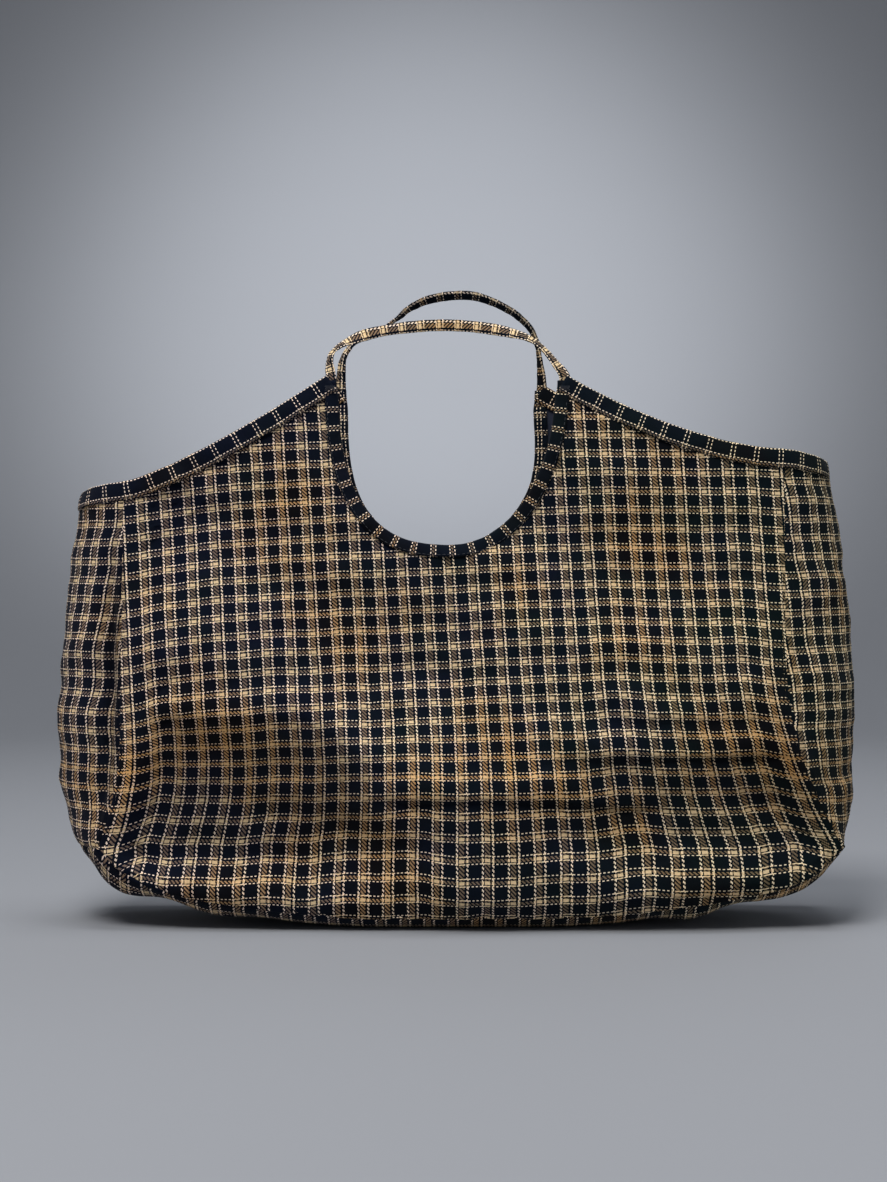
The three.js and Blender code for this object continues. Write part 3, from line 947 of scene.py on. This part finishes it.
def strap_rings(path, wide, thick, width):
    """A strip folded in four and stitched: rounded fold on one edge, two lips on the other."""
    half = 0.5
    top = np.array([-half, -0.44, -0.3, -0.1, 0.12, 0.3, 0.42, half])
    puff = np.array([0.12, 0.62, 0.92, 1.0, 1.0, 0.95, 0.72, 0.2])
    groove = 1 - 0.35 * bump(top, 0.36, 0.035)
    upper = np.stack([top, puff * groove], -1)
    lower = np.stack([top[::-1], -(puff * groove)[::-1]], -1)
    loop = np.concatenate([upper, lower])
    crumple = 0.14 * ripple(431, np.arange(len(path))[:, None] * 1.2, loop[None, :, 0] * 9, 7)
    x = loop[None, :, 0] * width[:, None]
    y = loop[None, :, 1] * STRAP_THICKNESS / 2 + crumple * np.sign(loop[None, :, 1])
    points = path[:, None] + wide[:, None] * x[..., None] + thick[:, None] * y[..., None]
    across = np.concatenate([(top + half) * STRAP_WIDTH, (top[::-1] + half) * STRAP_WIDTH])
    across[len(top) :] += STRAP_WIDTH
    return points, across


# ---- Materials ----

# dyes of the outer cloth, as linear colours
CREAM = (0.95, 0.82, 0.56, 1)
PINK = (0.95, 0.77, 0.66, 1)
GOLD = (0.93, 0.72, 0.42, 1)
TAN = (0.20, 0.15, 0.08, 1)
DUSKY = (0.21, 0.15, 0.12, 1)
ORANGE = (0.72, 0.40, 0.14, 1)
NAVY = (0.0020, 0.0042, 0.0130, 1)
GREEN = (0.0015, 0.0060, 0.0070, 1)
BLACK = (0.0024, 0.0021, 0.0032, 1)
LINING_DARK, LINING_PALE = (0.010, 0.014, 0.028, 1), (0.022, 0.028, 0.050, 1)
LINING_LINT = (0.05, 0.06, 0.09, 1)
THREAD_DARK, THREAD_PALE = (0.012, 0.014, 0.022, 1), (0.045, 0.048, 0.060, 1)
LINING_YARN = 0.7  # one up and down of the lining's weave, in millimetres


class Nodes:
    """Short ways to add and join shader nodes in one material."""

    def __init__(self, name):
        self.material = bpy.data.materials.new(name)
        self.material.use_nodes = True
        self.tree = self.material.node_tree
        self.shader = self.tree.nodes["Principled BSDF"]

    def add(self, kind, **settings):
        node = self.tree.nodes.new(kind)
        for key, value in settings.items():
            setattr(node, key, value)
        return node

    def put(self, socket, value):
        if hasattr(value, "is_output"):
            self.tree.links.new(value, socket)
        else:
            socket.default_value = value

    def math(self, operation, a, b=None, clamp=False):
        node = self.add("ShaderNodeMath", operation=operation, use_clamp=clamp)
        self.put(node.inputs[0], a)
        if b is not None:
            self.put(node.inputs[1], b)
        return node.outputs[0]

    def mix(self, share, a, b, blend="MIX"):
        node = self.add("ShaderNodeMix", data_type="RGBA", blend_type=blend)
        self.put(node.inputs["Factor"], share)
        self.put(node.inputs["A"], a)
        self.put(node.inputs["B"], b)
        return node.outputs["Result"]

    def scaled(self, value, factor, plus=0.0, clamp=False):
        return self.math("ADD", self.math("MULTIPLY", value, factor), plus, clamp)

    def about(self, value, middle, factor, clamp=False):
        """How far a value is above a middle one, times a factor."""
        return self.math("MULTIPLY", self.math("SUBTRACT", value, middle), factor, clamp)

    def weave_uv(self):
        return self.add("ShaderNodeUVMap", uv_map="weave").outputs["UV"]

    def place(self):
        return self.add("ShaderNodeTexCoord").outputs["Object"]

    def split(self, vector):
        node = self.add("ShaderNodeSeparateXYZ")
        self.put(node.inputs[0], vector)
        return node.outputs

    def noise(self, vector, scale, detail=2.0, output="Fac"):
        node = self.add("ShaderNodeTexNoise")
        self.put(node.inputs["Vector"], vector)
        node.inputs["Scale"].default_value = scale
        node.inputs["Detail"].default_value = detail
        return node.outputs[output]

    def stripes(self, share, bands):
        """A stepped ramp: bands is a list of (start as a share of the repeat, colour)."""
        node = self.add("ShaderNodeValToRGB")
        ramp = node.color_ramp
        ramp.interpolation = "CONSTANT"
        ramp.elements[0].position, ramp.elements[0].color = bands[0]
        ramp.elements.remove(ramp.elements[1])
        for position, colour in bands[1:]:
            ramp.elements.new(position).color = colour
        self.put(node.inputs["Fac"], share)
        return node.outputs["Color"]

    def finish(self, colour, rough, height, distance, strength, **finish):
        """Joins the nodes to the shader; finish has values that are uniform."""
        relief = self.add("ShaderNodeBump")
        relief.inputs["Distance"].default_value = distance
        relief.inputs["Strength"].default_value = strength
        self.put(relief.inputs["Height"], height)
        self.put(self.shader.inputs["Normal"], relief.outputs[0])
        self.put(self.shader.inputs["Base Color"], colour)
        self.put(self.shader.inputs["Roughness"], rough)
        for key, value in finish.items():
            self.shader.inputs[key.replace("_", " ")].default_value = value
        return self.material


LIGHT, MIDDLE, NONE = (1, 0, 0, 1), (0, 1, 0, 1), (0, 0, 0, 1)
WARP = [(13, NONE), (2, LIGHT), (1, NONE), (5, MIDDLE), (2, NONE), (2, LIGHT)]
WEFT = [(12, NONE), (1, LIGHT), (1, NONE), (3, MIDDLE), (2, NONE), (1, LIGHT)]
SPARSE_WARP = [(16, NONE), (1, LIGHT), (3, NONE), (1, LIGHT), (4, NONE)]
SPARSE_WEFT = [(14, NONE), (1, LIGHT), (1, NONE), (2, MIDDLE), (1, NONE), (1, LIGHT)]


def yarn_bands(total, runs):
    """Ramp stops from (number of yarns, colour) runs."""
    stops, start = [], 0
    for count, colour in runs:
        stops.append((start / total, colour))
        start += count
    return stops


def wobbling(n, uv):
    """The weave's UV with every yarn wandering a little."""
    offset = n.add("ShaderNodeVectorMath", operation="MULTIPLY_ADD")
    n.put(offset.inputs[0], n.noise(uv, 55.0, output="Color"))
    offset.inputs[1].default_value = (0.0009, 0.0009, 0)
    n.put(offset.inputs[2], uv)
    return offset.outputs[0]


def yarn_masks(n, number, total, runs):
    """Shares of light and of middle yarn at a yarn's number in the weave."""
    wrapped = n.math("FLOORED_MODULO", number, float(total))
    share = n.math("DIVIDE", n.math("ADD", wrapped, 0.5), float(total))
    parts = n.add("ShaderNodeSeparateColor")
    n.put(parts.inputs[0], n.stripes(share, yarn_bands(total, runs)))
    return parts.outputs


def dyes(n, uv, crossing):
    """Colours of the light, middle and dark yarns, which drift over the cloth: creamier
    to the right, warmer in patches and low down, gold where light yarns cross."""
    patches, dull = n.noise(uv, 14.0), n.noise(uv, 31.0)
    place = n.split(n.place())
    rightward = n.scaled(place["X"], 2.2, 0.42)
    rightward = n.math("ADD", rightward, n.about(dull, 0.5, 1.8))
    rightward = n.math("ADD", rightward, 0.0, True)
    low = n.math("ABSOLUTE", n.math("SUBTRACT", place["Z"], 0.095))
    low = n.math("SUBTRACT", 1.0, n.math("MULTIPLY", low, 22.0), True)
    warm = n.math("ADD", n.about(patches, 0.48, 2.6), n.math("MULTIPLY", low, 0.45), True)
    gold = n.mix(warm, GOLD, ORANGE)
    crossed = n.math("MULTIPLY", crossing, 0.8)
    light = n.mix(n.math("MULTIPLY", warm, 0.55), n.mix(rightward, PINK, CREAM), ORANGE)
    middle = n.mix(warm, n.mix(rightward, DUSKY, TAN), ORANGE)
    dark = n.mix(rightward, NAVY, GREEN)
    dark = n.mix(n.about(patches, 0.47, 5.0, True), dark, BLACK)
    return n.mix(crossed, light, gold), n.mix(crossed, middle, gold), dark


def plaid_material(name, warp_runs=WARP, weft_runs=WEFT):
    n = Nodes(name)
    uv = n.weave_uv()
    weave = n.split(wobbling(n, uv))
    u, v = (n.math("DIVIDE", weave[axis], YARN * MM) for axis in "XY")
    end, pick_number = n.math("FLOOR", u), n.math("FLOOR", v)
    masks = {
        "warp": yarn_masks(n, end, WARP_ENDS, warp_runs),
        "weft": yarn_masks(n, pick_number, WEFT_PICKS, weft_runs),
    }
    lit = {key: n.math("ADD", mask[0], mask[1], True) for key, mask in masks.items()}
    light, middle, dark = dyes(n, uv, n.math("MULTIPLY", lit["warp"], lit["weft"]))

    def dyed(key):
        return n.mix(masks[key][1], n.mix(masks[key][0], dark, light), middle)

    # a two-and-two twill: each yarn passes over two and under two
    step = n.math("FLOORED_MODULO", n.math("ADD", end, pick_number), 4.0)
    weft_over = n.math("GREATER_THAN", step, 1.5)
    colour = n.mix(weft_over, dyed("warp"), dyed("weft"))

    def rounded(yarn):
        centred = n.math("SUBTRACT", n.math("MULTIPLY", n.math("FRACT", yarn), 2.0), 1.0)
        return n.math("SUBTRACT", 1.0, n.math("MULTIPLY", centred, centred))

    height = n.add("ShaderNodeMix", data_type="FLOAT")
    n.put(height.inputs["Factor"], weft_over)
    n.put(height.inputs["A"], rounded(u))
    n.put(height.inputs["B"], rounded(v))
    raised = height.outputs["Result"]
    # painted shade between the yarns and in the hollows of the folds, and darker specks at
    # random
    fine = n.noise(uv, 900.0)
    shade = n.math("MULTIPLY", n.scaled(raised, 0.5, 0.6), n.scaled(fine, 0.5, 0.78))
    # the attribute holds painted shade for the hollows of the folds, which darkens the colour
    # there
    sunk = n.add("ShaderNodeAttribute", attribute_name="painted_shade").outputs["Fac"]
    painted_shade_dimming = n.math("SUBTRACT", 1.05, n.math("MULTIPLY", sunk, 0.5))
    grey = n.add("ShaderNodeCombineColor")
    for socket in grey.inputs:
        n.put(socket, n.math("MULTIPLY", shade, painted_shade_dimming))
    colour = n.mix(1.0, colour, grey.outputs[0], "MULTIPLY")
    rough = n.scaled(fine, 0.12, 0.86)
    relief = n.math("ADD", raised, n.math("MULTIPLY", fine, 0.6))
    gloss = {"Specular_IOR_Level": 0.08, "Sheen_Weight": 0.03, "Sheen_Roughness": 0.5}
    return n.finish(colour, rough, relief, 0.00012, 0.75, **gloss)


def lining_material():
    n = Nodes("lining_cotton")
    uv = n.weave_uv()
    turns = 2 * math.pi / (LINING_YARN * MM)
    u, v = (n.math("SINE", n.math("MULTIPLY", n.split(uv)[axis], turns)) for axis in "XY")
    fine = n.noise(uv, 1200.0)
    colour = n.mix(n.noise(uv, 22.0, 4.0), LINING_DARK, LINING_PALE)
    colour = n.mix(n.math("MULTIPLY", fine, 0.35), colour, LINING_LINT)
    relief = n.math("ADD", n.math("MULTIPLY", u, v), fine)
    gloss = {"Specular_IOR_Level": 0.2, "Sheen_Weight": 0.1}
    return n.finish(colour, n.scaled(fine, 0.12, 0.84), relief, 0.00008, 0.6, **gloss)


def thread_material():
    n = Nodes("thread")
    place = n.place()
    fine = n.noise(place, 2600.0, 3.0)
    twist = n.add("ShaderNodeTexWave")
    n.put(twist.inputs["Vector"], place)
    twist.inputs["Scale"].default_value = 900.0
    twist.inputs["Distortion"].default_value = 2.0
    colour = n.mix(fine, THREAD_DARK, THREAD_PALE)
    return n.finish(colour, n.scaled(fine, 0.2, 0.55), twist.outputs["Fac"], 0.00008, 1.0)


MATERIALS = {
    "plaid_cotton": plaid_material("plaid_cotton"),
    "binding_cotton": plaid_material("binding_cotton", SPARSE_WARP, SPARSE_WEFT),
    "strap_cotton": plaid_material("strap_cotton"),
    "lining_cotton": lining_material(),
    "thread": thread_material(),
}


# ---- Joining pieces to the frame ----


def finish_piece(piece, body, slot, *nodes):
    piece.data.materials.append(MATERIALS[slot])
    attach(piece, body)
    if nodes:
        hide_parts(*nodes)


def finish_strap(piece, body):
    piece.data.materials.append(MATERIALS["strap_cotton"])
    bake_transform(piece)
    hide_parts(body)


# ---- Stitching ----


THREAD = 0.2  # radius of a stitch


def stitch_row(name, path, out, pitch=3.0, length=2.1, nodes=()):
    """Close rows of short thread stitches lying on a path."""
    index = resample(path, pitch)
    centre = pick(path, index)
    normal = pick(out, index)
    tangent = tangents(centre)
    side = np.cross(normal, tangent)
    rings, sides = 7, 6
    k = np.linspace(-1, 1, rings)[None, :, None, None]
    angle = np.linspace(0, 2 * math.pi, sides, endpoint=False)[None, None, :, None]
    centre, tangent, side, normal = (a[:, None, None] for a in (centre, tangent, side, normal))
    radius = THREAD * np.sqrt(np.maximum(1 - np.abs(k) ** 3, 0.02))
    middle = centre + tangent * k * length / 2 + normal * THREAD * (0.9 - 1.1 * k * k)
    around = side * np.cos(angle) + normal * 0.8 * np.sin(angle)
    points = (middle + radius * around).reshape(-1, 3)
    low, a = np.arange(rings - 1)[:, None] * sides, np.arange(sides)
    b = (a + 1) % sides
    walls = np.stack([low + a, low + b, low + sides + b, low + sides + a], -1)
    top = (rings - 1) * sides
    caps = np.array([(0, 5, 4, 3), (0, 3, 2, 1), (top, top + 1, top + 2, top + 3)])
    caps = np.concatenate([caps, [(top, top + 3, top + 4, top + 5)]])
    one = np.concatenate([walls.reshape(-1, 4), caps])
    first = np.arange(len(index))[:, None, None] * rings * sides
    faces = (first + one).reshape(-1, 4)
    piece = new_mesh(name, points, face_outwards(points, faces), np.zeros((faces.size, 2)))
    finish_piece(piece, "bag", "thread", *nodes)


def make_bar_tack(node):
    """A few tight rows of thread across the root of a strap."""
    low, high = (np.array(corner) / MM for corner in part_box(node))
    front = low[1] < 0
    face = low[1] if front else high[1]
    out = np.array([[0.0, -1.0 if front else 1.0, 0.0]])
    rows = []
    for k, z in enumerate(np.linspace(low[2], high[2], 4)):
        ends = np.array([[low[0], face, z], [high[0], face, z]])
        rows.append(ends if k % 2 == 0 else ends[::-1])
    path = np.concatenate(rows)
    path = pick(path, resample(path, 0.8))
    stitch_row(f"{node}_thread", path, np.repeat(out, len(path), 0), 0.9, 1.2, [node])


# ---- Scene ----

VIEW_DISTANCE = 1.2  # all of this section is in metres
VIEW_HEIGHT = 0.733  # height of the picture at the bag's middle
SENSOR = 36
FLOOR_GREY = (0.25, 0.264, 0.292, 1)
AIR, AIR_STRENGTH = (0.75, 0.82, 0.92, 1), 0.12
BAG_MIDDLE = (0, 0, 0.2)
LAMPS = {  # place, size, power and colour of each lamp that is turned to the bag
    "key": ((-0.5, -1.2, 2.1), (0.9, 0.9), 47, (1.0, 0.97, 0.94)),
    "fill": ((1.7, -1.5, 0.9), (1.4, 1.4), 3.5, (0.93, 0.96, 1.0)),
    "top": ((0.0, -0.1, 2.3), (1.4, 0.8), 25, (1.0, 1.0, 1.0)),
    "back": ((0.6, 1.2, 1.6), (1.2, 0.8), 5, (0.95, 0.97, 1.0)),
}


def make_camera():
    data = bpy.data.cameras.new("camera")
    camera = link("camera", data)
    data.sensor_width = SENSOR
    data.lens = SENSOR * VIEW_DISTANCE / VIEW_HEIGHT
    camera.location = (-0.0084, -VIEW_DISTANCE, 0.2027)
    camera.rotation_euler = (math.radians(90), 0, 0)
    bpy.context.scene.camera = camera


def make_light(name, kind, location, target, power):
    data = bpy.data.lights.new(name, kind)
    data.energy = power
    light = link(name, data)
    light.location = location
    way = np.array(target, float) - np.array(location, float)
    yaw = math.atan2(way[1], way[0])
    pitch = math.atan2(way[2], math.hypot(way[0], way[1]))
    light.rotation_euler = (pitch + math.pi / 2, 0, yaw - math.pi / 2)
    return data


def make_lights():
    for name, (location, size, power, colour) in LAMPS.items():
        data = make_light(name, "AREA", location, BAG_MIDDLE, power)
        data.shape = "RECTANGLE"
        data.size, data.size_y = size
        data.color = colour
    # a soft round pool of light on the backdrop
    data = make_light("glow", "SPOT", (0.0, 0.5, 2.0), (-0.03, 2.55, 0.8), 330)
    data.spot_size = math.radians(46)
    data.spot_blend = 1.0
    data.shadow_soft_size = 0.3


def make_studio():
    """A pale round floor that curves up into a wall on every side."""
    flat, bend, wall, turns = 1.6, 1.2, 4.0, 72
    profile = [(0.02, 0.0), (flat, 0.0)]
    for k in range(1, 13):
        angle = k / 12 * math.pi / 2
        profile.append((flat + bend * math.sin(angle), bend - bend * math.cos(angle)))
    profile.append((flat + bend, wall))
    points, faces = [], []
    for k in range(turns):
        angle = 2 * math.pi * k / turns
        points += [(r * math.cos(angle), r * math.sin(angle), z) for r, z in profile]
    count = len(profile)
    for k in range(turns):
        here, there = k * count, (k + 1) % turns * count
        for j in range(count - 1):
            faces.append((here + j, here + j + 1, there + j + 1, there + j))
    faces.append(tuple(k * count for k in range(turns)))
    mesh = bpy.data.meshes.new("studio_floor")
    mesh.from_pydata(points, [], faces)
    mesh.polygons.foreach_set("use_smooth", [True] * len(faces))
    floor = link("studio_floor", mesh)
    material = bpy.data.materials.new("studio_floor")
    material.use_nodes = True
    shader = material.node_tree.nodes["Principled BSDF"]
    shader.inputs["Base Color"].default_value = FLOOR_GREY
    shader.inputs["Roughness"].default_value = 0.9
    mesh.materials.append(material)
    world = bpy.data.worlds.new("studio_air")
    world.use_nodes = True
    air = world.node_tree.nodes["Background"]
    air.inputs["Color"].default_value, air.inputs["Strength"].default_value = AIR, AIR_STRENGTH
    bpy.context.scene.world = world
    make_lights()
    bpy.context.scene.view_settings.view_transform = "Standard"


make_camera()
make_studio()
for is_front in (True, False):
    make_panel(is_front)
    make_panel_lining(is_front)
    make_neck_binding(is_front)
    make_strap(is_front)
for gusset_side in (-1, 1):
    make_gusset(gusset_side)
    make_gusset_lining(gusset_side)
    make_edge_binding(gusset_side)
make_base()
make_base_lining()
for node in frame["nodes"]:
    if node.endswith("bar_tack"):
        make_bar_tack(node)
